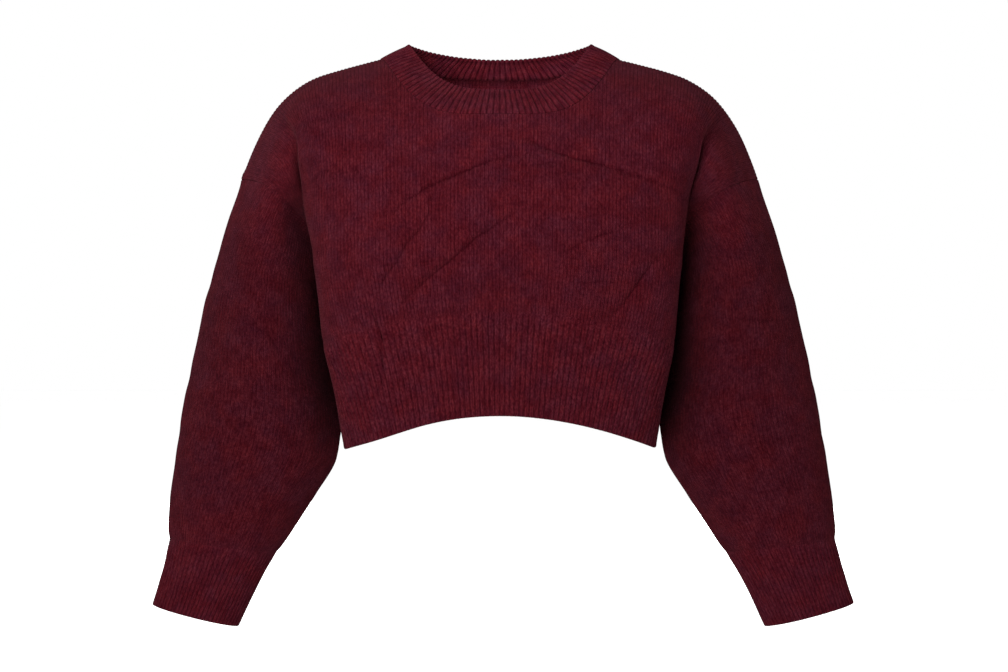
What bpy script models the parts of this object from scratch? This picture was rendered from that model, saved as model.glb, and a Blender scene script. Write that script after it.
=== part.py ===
"""A cropped knit sweater, filled out as if worn: front, back, two drop-shoulder sleeves, and ribbed
hem, cuffs and neckband, each a closed wall of cloth with an open, hollow garment between them.

Metres, +Z up. The front faces -Y and the wearer's left sleeve is at +X. The origin is in the middle
of the neck, level with the seam where the neckband meets the shoulders.
"""

import math

import bpy
import numpy as np

MM = 0.001

# Walls of cloth
KNIT_WALL = 2.4 * MM
RIB_WALL = 2.8 * MM
NECKBAND_WALL = 3.6 * MM
RIB_RISE = 1.0 * MM
SEAM_GAP = 0.3 * MM
LEAST_LEAVING = 0.3  # of a seam's plane by its wall, past which the wall is drawn back no further
SAME_POINT = 0.02 * MM  # points of two sheets this near each other are one point of a seam
LEAST_SPREAD = 0.5  # least squared sum of directions that a mitre is worked out from
OFF_THE_HALF = 0.21  # keeps round values away from the halves, where rounding is uncertain

# The trunk of the garment: one row for each level, in millimetres. A level rises from z_mid at the
# centre line to z_side at the side seam. Each half of its section runs from the centre to the fold,
# its widest point, and round to the side seam. square is the section's superellipse exponent.
TRUNK_COLUMNS = (
    "level", "z_mid", "z_side", "side_x", "side_y",
    "front_y", "fold_x", "fold_y", "back_y", "back_fold_x", "back_fold_y", "square",
)
TRUNK_ROWS = (
    (0.0, -352, -385, 151.5, 2, -115, 153.0, -22, 97, 152.5, 24, 2.3),
    (0.5, -303, -334, 157.0, 6, -121, 160.5, -34, 99, 159.5, 36, 2.5),
    (1.0, -252, -279, 165.5, 9, -130, 172.5, -46, 104, 171.0, 48, 2.8),
    (1.5, -228, -241, 170.0, 11, -135, 176.5, -52, 108, 175.0, 54, 3.0),
    (2.0, -205, -205, 173.0, 12, -138, 180.0, -56, 111, 178.0, 58, 3.1),
)
HEM_LEVEL, RIB_LEVEL, CHEST_LEVEL = 0.0, 1.0, 2.0
ARCH_POWER = 1.9  # how late a level leaves its height at the centre line
SIDE_SHARE = 0.3  # share of a half section's samples that lie between the fold and the side seam

# The yoke: every wale runs from the shoulder line over the chest, or the back, to the chest level.
NECK_X = 118 * MM
SHOULDER_Y = 5 * MM
SHOULDER_REACH = 139 * MM  # from the neckband's seam to the armhole seam, across
SHOULDER_SLOPE = 0.25
SHOULDER_ROLL = 84.2 * MM  # what the shoulder's end falls below that slope
ROLL_POWER = 4.7
FRONT_NECK_TURN = math.radians(49)  # how far round the yoke the neckline is cut, at its lowest
BACK_NECK_TURN = math.radians(29.5)
FRONT_NECK_POWER, BACK_NECK_POWER = 3.7, 2.4  # how square the neckline is
FRONT_REACH_POWER = 1.1
BACK_REACH_POWER = 0.88
WALE_POWER = 1.3
BULGE = 74 * MM  # how far the armhole stands out, front and back, round the top of the arm
BULGE_START, BULGE_POWER, BULGE_PEAK = 0.2, 1.2, 0.75
FOLD_AT = 0.785  # the fold beside the arm, as a share of the half panel's width
FOLD_WIDTH = 0.032
FOLD_DEPTH = 15 * MM
FOLD_POWER = 1.5

# Creases in the cloth: a soft trough from one end to the other, as seen from the front or behind,
# in millimetres. bow lifts its middle, and width is half of the trough's.
EDGE_FADE = 0.08  # share of a half panel's width, beside a seam, over which creases die out
CREASE_END = 0.3  # how deep a crease still is where it ends, as a share of its depth
CREASE_COLUMNS = ("x_start", "z_start", "x_end", "z_end", "bow", "depth", "width")
FRONT_CREASES = (
    (-98, -142, 30, -91, 9, 5.2, 11),
    (30, -80, 180, -131, 2, 4.4, 11),
    (17, -150, -98, -239, 3, 5.2, 11),
    (-62, -149, -124, -233, 4, 4.6, 11),
    (132, -163, 63, -192, 3, 3.8, 11),
    (165, -195, 116, -251, 4, 4.4, 11),
    (-149, -87, -200, -128, 4, 3.8, 11),
    (-136, -243, -115, -321, 6, 4.4, 10),
)
BACK_CREASES = (
    (-60, -96, -168, -150, 6, 4.8, 12),
    (70, -104, 172, -146, 5, 4.4, 12),
    (-20, -168, 110, -214, -4, 4.6, 12),
    (-150, -192, -66, -236, -3, 4.2, 12),
)

# The left sleeve and its cuff: rings from the armhole to the wrist, in millimetres. A ring goes
# from its outer point round the back to its inner point, and on round the front.
SLEEVE_COLUMNS = ("level", "out_x", "out_z", "in_x", "in_z", "mid_y", "front_d", "back_d")
SLEEVE_ROWS = (
    (0.0, 257.0, -119, 173.0, -205, 12, 76, 74),
    (0.3, 260.5, -130, 179.5, -211, 13, 80, 78),
    (1.0, 271.0, -159, 182.0, -230, 14, 80, 79),
    (2.0, 282.5, -199, 180.0, -256, 15, 79, 78),
    (3.0, 294.0, -239, 175.5, -288, 15, 75, 75),
    (4.0, 303.0, -279, 168.5, -324, 14, 69, 70),
    (5.0, 311.5, -319, 161.5, -361, 12, 60, 62),
    (6.0, 319.0, -359, 166.5, -396, 9, 55, 57),
    (7.0, 325.0, -399, 186.5, -431, 5, 51, 53),
    (8.0, 330.0, -439, 206.0, -461, 0, 47, 48),
    (8.7, 331.0, -466, 219.0, -481, -4, 44, 45),
    (9.0, 329.0, -476, 225.0, -489, -6, 41, 42),
    (9.5, 333.0, -497, 237.0, -507, -9, 38, 38),
    (10.0, 339.5, -520, 248.5, -529, -12, 34, 34),
    (11.0, 346.0, -545, 263.5, -563, -17, 29, 29),
)
CUFF_LEVEL, WRIST_LEVEL = 9.0, 11.0
SEAM_FADE = 1.6  # the level by which a ring no longer follows the armhole

# Creases in the left sleeve: where along it and how far round, with turn in degrees from the outer
# point towards the back. The right sleeve has them mirrored, at LEFT_TURN more.
SLEEVE_CREASE_COLUMNS = ("level", "turn", "tilt", "length", "depth", "width")
SLEEVE_CREASES = (
    (2.4, 290, -0.30, 60, 4.0, 0.45),
    (4.3, 320, 0.35, 50, 4.0, 0.45),
    (5.3, 245, -0.30, 45, 4.2, 0.45),
    (6.8, 300, 0.25, 55, 3.4, 0.40),
    (3.2, 110, -0.35, 55, 4.4, 0.45),
    (5.0, 70, 0.35, 50, 4.2, 0.45),
    (6.6, 130, -0.30, 45, 3.6, 0.40),
)
LEFT_TURN = math.radians(14)

# The neckband: its upper edge, and how far the band stands proud between its edges
BAND_TOP_X = 89.5 * MM
BAND_TOP_FRONT = (-75 * MM, -36 * MM)  # y and z in the middle of the front
BAND_TOP_BACK = (42 * MM, 1.5 * MM)
BAND_TOP_SIDE = (2 * MM, 13.4 * MM)
FRONT_DIP_POWER, BACK_DIP_POWER = 4.0, 2.2
BAND_BULGE = 0.8 * MM

# How finely each piece is divided
NECK_STEPS, SHOULDER_STEPS = 7, 14
CROWDING = 0.45  # how much closer the wales of points lie at the fold than on average
YOKE_ROWS, TRUNK_PANEL_ROWS = 12, 4
HEM_RIBS, HEM_ROWS = 82, 2  # ribs across the front, and again across the back
CUFF_RIBS, CUFF_ROWS = 44, 2
NECK_RIBS, NECK_ROWS = 108, 2
SLEEVE_RING_LEVELS = (0, 0.3, 0.9, 1.6, 2.4, 3.2, 4.0, 4.8, 5.5, 6.2, 7.0, 7.9, 8.7, 9.0)
DENSE = 400  # samples along a section before it is divided evenly

YARN_COLOUR = (0.075, 0.008, 0.014, 1.0)
YARN_ROUGHNESS = 0.92


# ---- tables and curves -----------------------------------------------------------------------


def columns(names, rows):
    """A table as a dictionary: the name of each column to its values."""
    return dict(zip(names, np.array(rows, float).T))


TRUNK = columns(TRUNK_COLUMNS, TRUNK_ROWS)
SLEEVE = columns(SLEEVE_COLUMNS, SLEEVE_ROWS)


def read(table, column, level):
    """A column of a table at any level, on a cubic through its rows that never overshoots them."""
    x, y = table["level"], table[column]
    step, rise = np.diff(x), np.diff(y) / np.diff(x)
    same_way = rise[1:] * rise[:-1] > 0
    weights = 2 * step[1:] + step[:-1], step[1:] + 2 * step[:-1]
    safe = np.where(same_way, rise[1:] * rise[:-1], 1)
    mean = sum(weights) * safe / np.where(same_way, weights[0] * rise[1:] + weights[1] * rise[:-1], 1)
    slope = np.concatenate([rise[:1], np.where(same_way, mean, 0), rise[-1:]])
    level = np.asarray(level, float)
    i = np.clip(np.searchsorted(x, level, side="right") - 1, 0, len(x) - 2)
    t = (level - x[i]) / step[i]
    start = y[i] * (1 + 2 * t) * (1 - t) ** 2 + slope[i] * step[i] * t * (1 - t) ** 2
    end = y[i + 1] * t**2 * (3 - 2 * t) + slope[i + 1] * step[i] * t**2 * (t - 1)
    return start + end


def lengths(points):
    """How far along a curve each of its points lies."""
    return np.concatenate([[0], np.cumsum(np.linalg.norm(np.diff(points, axis=0), axis=1))])


def evenly(points, shares):
    """Points of a curve at these shares of its length."""
    along = lengths(points)
    return np.stack([np.interp(shares * along[-1], along, points[:, k]) for k in range(3)], axis=-1)


def unit(vectors):
    return vectors / np.maximum(np.linalg.norm(vectors, axis=-1, keepdims=True), 1e-12)


# ---- the trunk and the yoke ------------------------------------------------------------------


def half_section(level, back, shares):
    """Half of the trunk's section at a level, from the centre line to the side seam."""
    fold_x, fold_y, middle_y = (
        ("back_fold_x", "back_fold_y", "back_y") if back else ("fold_x", "fold_y", "front_y")
    )
    at = {name: read(TRUNK, name, level) for name in TRUNK}
    power = 2 / at["square"]
    angle = np.linspace(0, math.pi / 2, round(DENSE * (1 - SIDE_SHARE)))
    face_x = at[fold_x] * np.sin(angle) ** power
    face_y = at[fold_y] + (at[middle_y] - at[fold_y]) * np.clip(np.cos(angle), 0, 1) ** power
    round_side = np.linspace(0, 1, round(DENSE * SIDE_SHARE))[1:]
    side_x = at["side_x"] + (at[fold_x] - at["side_x"]) * (1 + np.cos(math.pi * round_side)) / 2
    side_y = at[fold_y] + (at["side_y"] - at[fold_y]) * round_side
    x, y = np.concatenate([face_x, side_x]), np.concatenate([face_y, side_y])
    drop = np.minimum(x / at["side_x"], 1) ** ARCH_POWER
    z = at["z_mid"] + (at["z_side"] - at["z_mid"]) * drop
    return evenly(np.stack([x, y, z], axis=1) * MM, shares)


def shoulder_line(shares):
    """The shoulder seam from the neckband to the armhole: an even slope that rolls off at its end."""
    across = np.linspace(0, SHOULDER_REACH, DENSE)
    fall = SHOULDER_SLOPE * across + SHOULDER_ROLL * (across / SHOULDER_REACH) ** ROLL_POWER
    line = np.stack([NECK_X + across, np.full(DENSE, SHOULDER_Y), -fall], axis=1)
    return evenly(line, shares), lengths(line)[-1]


SHOULDER_LENGTH = shoulder_line(np.zeros(1))[1]
NECK_SHARE = NECK_X / (NECK_X + SHOULDER_LENGTH)  # of the half panel's width at its top


def top_line(u):
    """Where each wale would start: across the open neck, then along the shoulder seam."""
    inside = np.clip(u / NECK_SHARE, 0, 1)
    crown = SHOULDER_SLOPE * NECK_X / 2
    neck = np.stack(
        [NECK_X * inside, np.full_like(u, SHOULDER_Y), crown * (1 - inside**2)], axis=-1
    )
    shoulder, _ = shoulder_line(np.clip((u - NECK_SHARE) / (1 - NECK_SHARE), 0, 1))
    return np.where((u <= NECK_SHARE)[..., None], neck, shoulder)


def neck_turn(u, back):
    """How far round the yoke the neckline lies, and 0 along the shoulder seam."""
    deepest, power = (
        (BACK_NECK_TURN, BACK_NECK_POWER) if back else (FRONT_NECK_TURN, FRONT_NECK_POWER)
    )
    return deepest * np.sqrt(1 - np.clip(u / NECK_SHARE, 0, 1) ** power)


def yoke(u, turn, back):
    """The cloth over the chest or the back: a quarter turn from the top line to the chest level.

    u is a share of the half panel's width and turn an angle, both arrays of one shape. The wales
    near the arm also bulge, round the top of the arm, and dip where the cloth folds beside it.
    """
    top, chest = top_line(u), half_section(CHEST_LEVEL, back, u)
    reach = np.sin(turn) ** (BACK_REACH_POWER if back else FRONT_REACH_POWER)
    rising = np.clip((u - BULGE_START) / (1 - BULGE_START), 0, 1)
    round_arm = np.clip(np.sin(2 * turn), 0, 1) ** BULGE_POWER * np.cos(turn) / BULGE_PEAK
    bulge = BULGE * rising**2 * (3 - 2 * rising) * round_arm
    past = np.clip((u - FOLD_AT) / FOLD_WIDTH, 0, None)
    dip = FOLD_DEPTH * (past * np.exp(1 - past)) ** FOLD_POWER * np.sin(2 * turn) ** 2
    share = np.stack([np.sin(turn) ** WALE_POWER, reach, 1 - np.cos(turn)], axis=-1)
    points = top + (chest - top) * share
    points[..., 1] += (1 if back else -1) * (bulge - dip)
    return points


def troughs(points, creases, u, back):
    """Points moved into the garment where creases run, measured as seen from the front or behind."""
    x, z = points[..., 0] / MM, points[..., 2] / MM
    dent = np.zeros_like(x)
    for row in creases:
        crease = dict(zip(CREASE_COLUMNS, row))
        along = np.array([crease["x_end"] - crease["x_start"], crease["z_end"] - crease["z_start"]])
        length = np.hypot(*along)
        across = np.array([-along[1], along[0]]) * math.copysign(1, along[0]) / length
        from_x, from_z = x - crease["x_start"], z - crease["z_start"]
        share = np.clip((from_x * along[0] + from_z * along[1]) / length**2, 0, 1)
        arch = crease["bow"] * 4 * share * (1 - share)
        off = np.hypot(
            from_x - share * along[0] - arch * across[0],
            from_z - share * along[1] - arch * across[1],
        )
        deep = CREASE_END + (1 - CREASE_END) * np.sqrt(4 * share * (1 - share))
        dent += crease["depth"] * deep * np.exp(-((off / crease["width"]) ** 2))
    dent *= np.clip((1 - np.abs(u)) / EDGE_FADE, 0, 1)
    moved = points.copy()
    moved[..., 1] += (-1 if back else 1) * dent * MM
    return moved


def panel_shares(back):
    """Where the wales of half a panel are drawn: even along the neckline, and closer at the fold."""
    u = np.linspace(0, NECK_SHARE, DENSE)
    along = lengths(yoke(u, neck_turn(u, back), back))
    neck = np.interp(np.linspace(0, along[-1], NECK_STEPS + 1), along, u)
    even = np.linspace(0, 1, SHOULDER_STEPS + 1)[1:]
    fold = (FOLD_AT - NECK_SHARE) / (1 - NECK_SHARE)
    wave = np.sin(2 * math.pi * (even - fold)) + math.sin(2 * math.pi * fold)
    shoulder = NECK_SHARE + (1 - NECK_SHARE) * (even - CROWDING * wave / (2 * math.pi))
    return np.concatenate([neck, shoulder])


def both_sides(half):
    """A whole grid from its half at +X, whose first column is the centre line."""
    return np.concatenate([half[:, :0:-1] * (-1, 1, 1), half], axis=1)


def whole_width(u):
    """The shares of both halves of a panel, from -1 to 1."""
    return np.concatenate([-u[:0:-1], u])


def body_panel(back):
    """The front or the back, as rows of points from the shoulders and neckline to the hem's rib."""
    u = panel_shares(back)
    start = neck_turn(u, back)
    share = np.linspace(0, 1, YOKE_ROWS + 1)[:, None]
    turn = start + (math.pi / 2 - start) * share
    upper = yoke(np.broadcast_to(u, turn.shape), turn, back)
    levels = np.linspace(CHEST_LEVEL, RIB_LEVEL, TRUNK_PANEL_ROWS + 1)[1:]
    lower = np.stack([half_section(level, back, u) for level in levels])
    grid = both_sides(np.concatenate([upper, lower]))
    creased = troughs(grid, BACK_CREASES if back else FRONT_CREASES, whole_width(u), back)
    return np.concatenate([grid[:1], creased[1:]])


def hem_panel(panel, back):
    """The ribbed hem under the front or the back, with two columns of points to a rib."""
    u = np.linspace(0, 1, HEM_RIBS + 1)
    levels = np.linspace(RIB_LEVEL, HEM_LEVEL, HEM_ROWS + 1)[1:]
    lower = both_sides(np.stack([half_section(level, back, u) for level in levels]))
    lower = troughs(lower, BACK_CREASES if back else FRONT_CREASES, whole_width(u), back)
    seam = evenly(panel[-1], np.linspace(0, 1, 2 * HEM_RIBS + 1))
    return np.concatenate([seam[None], lower])


# ---- the sleeves -----------------------------------------------------------------------------


def armhole(turn):
    """The left armhole seam, from the shoulder at turn 0 round the back to the underarm at pi."""
    back = turn <= math.pi
    quarter = np.where(back, turn, 2 * math.pi - turn) / 2
    edge = np.ones_like(turn)
    return np.where(back[:, None], yoke(edge, quarter, True), yoke(edge, quarter, False))


def plain_ring(level, turn):
    """Points of the left sleeve with no creases: turn runs from the outer point round the back."""
    at = {name: read(SLEEVE, name, level) for name in SLEEVE_COLUMNS[1:]}
    depth = np.where(turn <= math.pi, at["back_d"], at["front_d"])
    outer = (1 + np.cos(turn)) / 2
    x = at["in_x"] + (at["out_x"] - at["in_x"]) * outer
    z = at["in_z"] + (at["out_z"] - at["in_z"]) * outer
    return np.stack([x, at["mid_y"] + depth * np.sin(turn), z], axis=-1) * MM


def sleeve_dent(level, turn):
    """How deep the sleeve's creases are at each point."""
    dent = np.zeros_like(level)
    for row in SLEEVE_CREASES:
        crease = dict(zip(SLEEVE_CREASE_COLUMNS, row))
        around = (np.degrees(turn) - crease["turn"] + 180) % 360 - 180
        off = level - crease["level"] - crease["tilt"] * around / crease["length"]
        fade = np.exp(-((around / crease["length"]) ** 2))
        dent += crease["depth"] * fade * np.exp(-((off / crease["width"]) ** 2))
    return dent * MM


def sleeve_rings(levels, turns, creases_turned):
    """The left sleeve as a grid of points: a ring at each level, with a column at each turn.

    Near the armhole a ring also takes on, and then loses, the difference between the armhole seam
    and the table's first row.
    """
    level, turn = np.meshgrid(np.asarray(levels, float), turns, indexing="ij")
    points = plain_ring(level, turn)
    middle = points.mean(axis=1, keepdims=True)
    points += unit(middle - points) * sleeve_dent(level, turn - creases_turned)[..., None]
    fade = np.clip(1 - level / SEAM_FADE, 0, 1)[..., None]
    to_seam = armhole(turns) - plain_ring(np.zeros_like(turns), turns)
    return points + to_seam * fade**2 * (3 - 2 * fade)


def closed_ring(ring):
    """A ring whose first point is repeated at its end."""
    return np.concatenate([ring, ring[:1]])


def sleeve(creases_turned):
    turns = np.linspace(0, 2 * math.pi, 2 * YOKE_ROWS, endpoint=False)
    return sleeve_rings(SLEEVE_RING_LEVELS, turns, creases_turned)


def cuff(arm, creases_turned):
    """The ribbed cuff below a sleeve, with two columns of points to a rib."""
    shares = np.arange(2 * CUFF_RIBS) / (2 * CUFF_RIBS)
    levels = np.linspace(CUFF_LEVEL, WRIST_LEVEL, CUFF_ROWS + 1)[1:]
    rings = sleeve_rings(levels, np.linspace(0, 2 * math.pi, DENSE), creases_turned)
    return np.stack([evenly(ring, shares) for ring in [closed_ring(arm[-1]), *rings]])


def mirrored(grid):
    """A closed grid turned into its mirror image across X, still running the same way round."""
    return np.roll(grid[:, ::-1] * (-1, 1, 1), 1, axis=1)


# ---- the neckband ----------------------------------------------------------------------------


def neckline(front, back):
    """The necklines of both panels as one closed ring, from the middle of the front round by +X."""
    middle = front.shape[1] // 2
    to_shoulder = front[0, middle : middle + NECK_STEPS]
    to_back = back[0, middle + NECK_STEPS : middle : -1]
    half = np.concatenate([to_shoulder, to_back, back[0, middle : middle + 1]])
    return np.concatenate([half, half[-2::-1] * (-1, 1, 1)])


def band_edge(shares):
    """The neckband's upper edge as a closed ring, from the middle of the front round by +X."""
    angle = np.linspace(0, 2 * math.pi, 2 * DENSE)
    front = np.cos(angle) > 0
    middle_y, middle_z = np.where(front[:, None], BAND_TOP_FRONT, BAND_TOP_BACK).T
    side_y, side_z = BAND_TOP_SIDE
    dip = 1 - np.abs(np.sin(angle)) ** np.where(front, FRONT_DIP_POWER, BACK_DIP_POWER)
    y = side_y + (middle_y - side_y) * np.abs(np.cos(angle))
    z = side_z + (middle_z - side_z) * dip
    return evenly(np.stack([BAND_TOP_X * np.sin(angle), y, z], axis=1), shares)


def neckband(seam):
    """The neckband as rings from its upper edge down to its seam, slightly full between them."""
    shares = np.arange(2 * NECK_RIBS) / (2 * NECK_RIBS)
    low, high = evenly(seam, shares), band_edge(shares)
    around = np.roll(low, -1, axis=0) - np.roll(low, 1, axis=0)
    outwards = unit(np.cross(around, high - low))
    fall = np.linspace(0, 1, NECK_ROWS + 1)[:, None, None]
    return high + (low - high) * fall + outwards * BAND_BULGE * np.sin(math.pi * fall)


# ---- walls of cloth --------------------------------------------------------------------------


def grid_normals(grid, closed):
    """The outward direction at each point of a grid, from the way its rows and columns run."""
    down = np.gradient(grid, axis=0)
    if closed:
        across = np.roll(grid, -1, axis=1) - np.roll(grid, 1, axis=1)
    else:
        across = np.gradient(grid, axis=1)
    return unit(np.cross(down, across))


def seam_key(point):
    """The same for every sheet that has this point on its edge, up to rounding errors."""
    return tuple(round(value / SAME_POINT + OFF_THE_HALF) for value in point)


def mitred_normals(sheets, rib_seams):
    """Directions for the points of every sheet, the same where sheets meet, so edges are mitred.

    Where k unit directions with the sum s meet, both walls move along k s / |s|^2, which keeps the
    walls' thickness at the corner. A ribbed sheet has more points along its seam than its
    neighbour, so rib_seams gives its seam's row and the neighbour's edge, and it takes its
    directions there from that edge.
    """
    normals = {name: grid_normals(grid, closed) for name, (grid, closed) in sheets.items()}
    sums, counts = {}, {}

    def meet(points, directions):
        for point, direction in zip(points, directions):
            key = seam_key(point)
            sums[key] = sums.get(key, 0) + direction
            counts[key] = counts.get(key, 0) + 1

    def mitred(points):
        keys = [seam_key(point) for point in points]
        return np.array([sums[k] * counts[k] / max(sums[k] @ sums[k], LEAST_SPREAD) for k in keys])

    for name, (grid, _) in sheets.items():
        rows = [row for row in range(len(grid)) if row != rib_seams.get(name, (None,))[0]]
        meet(grid[rows].reshape(-1, 3), normals[name][rows].reshape(-1, 3))
    shares = {}
    for name, (row, edge) in rib_seams.items():
        grid, closed = sheets[name]
        columns = grid.shape[1]
        shares[name] = np.arange(columns) / (columns if closed else columns - 1)
        at_edge = lengths(edge) / lengths(edge)[-1]
        wrapped = closed_ring(normals[name][row]) if closed else normals[name][row]
        fine = np.linspace(0, 1, len(wrapped))
        ribbed = np.stack([np.interp(at_edge, fine, wrapped[:, k]) for k in range(3)], axis=-1)
        last = -1 if closed else None
        meet(edge[:last], ribbed[:last])
    for name, (grid, _) in sheets.items():
        rows = [row for row in range(len(grid)) if row != rib_seams.get(name, (None,))[0]]
        normals[name][rows] = mitred(grid[rows].reshape(-1, 3)).reshape(grid[rows].shape)
    for name, (row, edge) in rib_seams.items():
        at_edge = lengths(edge) / lengths(edge)[-1]
        turned = mitred(edge)
        normals[name][row] = np.stack(
            [np.interp(shares[name], at_edge, turned[:, k]) for k in range(3)], axis=-1
        )
    return normals


def drawn_back(edge, neighbours, directions):
    """An edge moved into its own piece, away from the plane in which two walls meet.

    That plane holds the edge and the mitred directions, so a seam's gap is the same all along.
    """
    plane = unit(np.cross(directions, np.gradient(edge, axis=0)))
    inwards = unit(neighbours - edge)
    leaving = np.abs((inwards * plane).sum(axis=-1, keepdims=True))
    return edge + inwards * SEAM_GAP / 2 / np.maximum(leaving, LEAST_LEAVING)


def open_seams(grid, normals, closed):
    """The grid with its edges drawn back by half the gap that a seam keeps."""
    drawn = grid.copy()
    drawn[0] = drawn_back(grid[0], grid[1], normals[0])
    drawn[-1] = drawn_back(grid[-1], grid[-2], normals[-1])
    if not closed:
        for edge, beside in ((0, 1), (-1, -2)):
            moved = drawn_back(grid[:, edge], grid[:, beside], normals[:, edge])
            drawn[:, edge] += moved - grid[:, edge]
    return drawn


def rim(outer, loop, shift):
    """Triangles that join the outer and inner surfaces along a loop of outer points.

    Each step along the loop is a bent four-sided face. Its diagonal starts at the higher of its two
    outer corners, so that it is bent the same way in both of the walls that meet there.
    """
    faces = []
    for a, b in zip(loop[:-1], loop[1:]):
        if outer[a, 2] > outer[b, 2]:
            faces += [(a, b, b + shift), (a, b + shift, a + shift)]
        else:
            faces += [(a, b, a + shift), (b, b + shift, a + shift)]
    return faces


def wall(name, grid, normals, closed, thickness, ribbed, material, collection):
    """One closed wall of cloth: an outer and an inner surface, joined round their edges."""
    rows, cols = grid.shape[:2]
    grid = open_seams(grid, normals, closed)
    rib = RIB_RISE * (np.arange(cols) % 2) if ribbed else np.zeros(cols)
    outer = (grid + normals * (thickness / 2 + rib)[None, :, None]).reshape(-1, 3)
    inner = (grid - normals * thickness / 2).reshape(-1, 3)
    index = np.arange(rows * cols).reshape(rows, cols)
    index = np.concatenate([index, index[:, :1]], axis=1) if closed else index
    low, high = index[:-1], index[1:]
    quads = np.stack([low[:, :-1], high[:, :-1], high[:, 1:], low[:, 1:]], axis=-1).reshape(-1, 4)
    loops = [index[0], index[-1][::-1]]
    if not closed:
        loops += [index[::-1, 0], index[:, -1]]
    shift = rows * cols
    faces = quads.tolist() + (quads[:, ::-1] + shift).tolist()
    for loop in loops:
        faces += rim(outer, loop.tolist(), shift)
    mesh = bpy.data.meshes.new(name)
    mesh.from_pydata(np.concatenate([outer, inner]).tolist(), [], faces)
    mesh.materials.append(material)
    mesh.shade_smooth()
    made = bpy.data.objects.new(name, mesh)
    collection.objects.link(made)


def yarn():
    """The one yarn that the whole sweater is knitted from."""
    material = bpy.data.materials.new("burgundy_wool")
    material.use_nodes = True
    shader = material.node_tree.nodes["Principled BSDF"]
    shader.inputs["Base Color"].default_value = YARN_COLOUR
    shader.inputs["Roughness"].default_value = YARN_ROUGHNESS
    shader.inputs["Metallic"].default_value = 0.0
    return material


def sheets_and_seams():
    """Every piece as a grid of points half way through its wall, and where ribbed pieces join."""
    front, back = body_panel(back=False), body_panel(back=True)
    left, right = sleeve(0), mirrored(sleeve(LEFT_TURN))
    neck = neckline(front, back)
    sheets = {
        "front": (front, False),
        "back": (back[:, ::-1], False),
        "hem_rib_front": (hem_panel(front, back=False), False),
        "hem_rib_back": (hem_panel(back, back=True)[:, ::-1], False),
        "sleeve_left": (left, True),
        "sleeve_right": (right, True),
        "cuff_left": (cuff(left, 0), True),
        "cuff_right": (mirrored(cuff(sleeve(LEFT_TURN), LEFT_TURN)), True),
        "neckband": (neckband(neck), True),
    }
    rib_seams = {
        "hem_rib_front": (0, front[-1]),
        "hem_rib_back": (0, back[-1, ::-1]),
        "cuff_left": (0, closed_ring(left[-1])),
        "cuff_right": (0, closed_ring(right[-1])),
        "neckband": (NECK_ROWS, neck),
    }
    return sheets, rib_seams


def main():
    for leftover in list(bpy.data.objects):
        bpy.data.objects.remove(leftover)
    sweater = bpy.data.collections.new("cropped_knit_sweater")
    bpy.context.scene.collection.children.link(sweater)
    material = yarn()
    sheets, rib_seams = sheets_and_seams()
    normals = mitred_normals(sheets, rib_seams)
    for name, (grid, closed) in sheets.items():
        ribbed = name in rib_seams
        thickness = NECKBAND_WALL if name == "neckband" else RIB_WALL if ribbed else KNIT_WALL
        wall(name, grid, normals[name], closed, thickness, ribbed, material, sweater)


main()
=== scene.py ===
# %% [markdown]
# # A cropped knit sweater
# A boxy wool sweater with dropped shoulders, full sleeves, and a ribbed neckband, hem and cuffs.
# It is filled out as if somebody wore it, and it is hollow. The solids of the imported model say
# where each wall of cloth lies. Here each wall becomes knitted cloth: wales and ribs in the mesh,
# stitches and heathered wool in the material.

from math import asin, atan2, pi, radians, sqrt

import bpy
import numpy as np
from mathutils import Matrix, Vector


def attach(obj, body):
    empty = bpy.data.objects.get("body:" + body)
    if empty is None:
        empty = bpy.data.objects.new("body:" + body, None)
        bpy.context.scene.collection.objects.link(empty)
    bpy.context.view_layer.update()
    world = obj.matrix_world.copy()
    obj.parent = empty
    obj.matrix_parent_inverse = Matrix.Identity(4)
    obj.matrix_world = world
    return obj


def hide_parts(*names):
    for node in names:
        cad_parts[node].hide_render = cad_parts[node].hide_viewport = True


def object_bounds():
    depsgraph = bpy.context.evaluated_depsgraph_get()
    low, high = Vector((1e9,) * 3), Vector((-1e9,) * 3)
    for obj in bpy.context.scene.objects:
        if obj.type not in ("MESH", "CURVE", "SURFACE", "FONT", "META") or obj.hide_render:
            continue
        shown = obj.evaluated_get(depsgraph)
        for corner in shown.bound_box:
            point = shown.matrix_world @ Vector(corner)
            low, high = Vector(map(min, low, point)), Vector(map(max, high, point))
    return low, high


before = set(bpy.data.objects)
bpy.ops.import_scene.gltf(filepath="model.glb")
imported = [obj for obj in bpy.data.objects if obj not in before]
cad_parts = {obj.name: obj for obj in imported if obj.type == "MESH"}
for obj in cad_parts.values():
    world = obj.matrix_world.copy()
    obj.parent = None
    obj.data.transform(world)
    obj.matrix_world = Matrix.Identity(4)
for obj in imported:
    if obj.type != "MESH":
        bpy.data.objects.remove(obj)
cad_low, cad_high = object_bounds()
print("solids:", sorted(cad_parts))
print("they measure", [round(high - low, 4) for low, high in zip(cad_low, cad_high)], "m")

# %% [markdown]
# ## The camera
# The sweater is looked at straight from the front, from three metres away, with a long lens. On
# the plane of the shoulders one pixel spans one millimetre.

# %% Place the camera
MM = 0.001
SENSOR = 36.0
VIEW_DISTANCE = 3.0
VIEW_X, VIEW_Z = 4 * MM, -275 * MM
PICTURE_WIDTH = 1008 * MM  # what the picture spans on the plane of the shoulders
scene = bpy.context.scene


def placed(name, data):
    """A new object in the scene."""
    made = bpy.data.objects.new(name, data)
    scene.collection.objects.link(made)
    return made


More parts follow.
